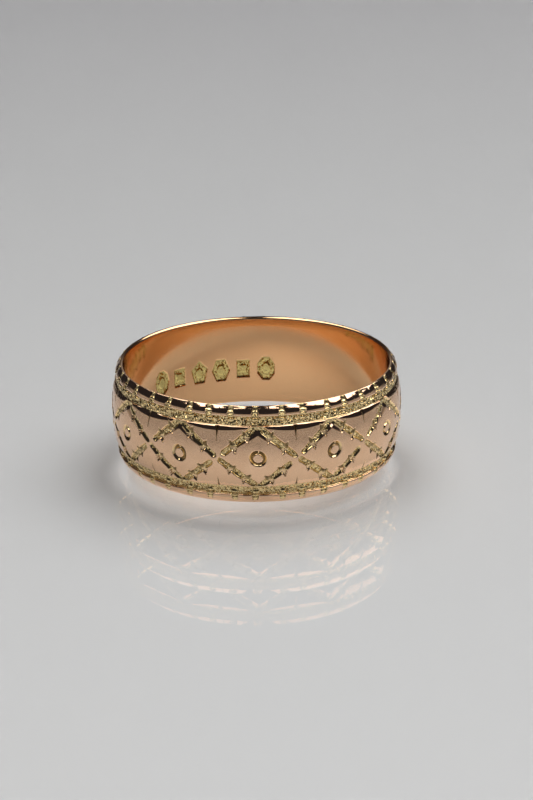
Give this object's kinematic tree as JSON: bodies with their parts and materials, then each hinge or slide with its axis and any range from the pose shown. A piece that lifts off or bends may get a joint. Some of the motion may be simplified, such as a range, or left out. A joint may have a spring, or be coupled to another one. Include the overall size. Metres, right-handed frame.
{
  "type": "wedding band",
  "caption": "Wide court-shaped finger ring with notched bead edges, sunk borders and an engraved lattice of diamonds round a crowned belly.",
  "frame": {"origin": "middle of the lower edge, on the ring's axis, at the height of the surface it stands on", "axes": "+Z along the ring's axis, up; -Y towards the front, where one diamond of the lattice is centred; +X to the right seen from the front"},
  "size_m": [0.0188, 0.0188, 0.0063],
  "materials": {
    "rose_gold": "polished"
  },
  "bodies": {
    "root": {"band": "rose_gold"}
  },
  "joints": []
}
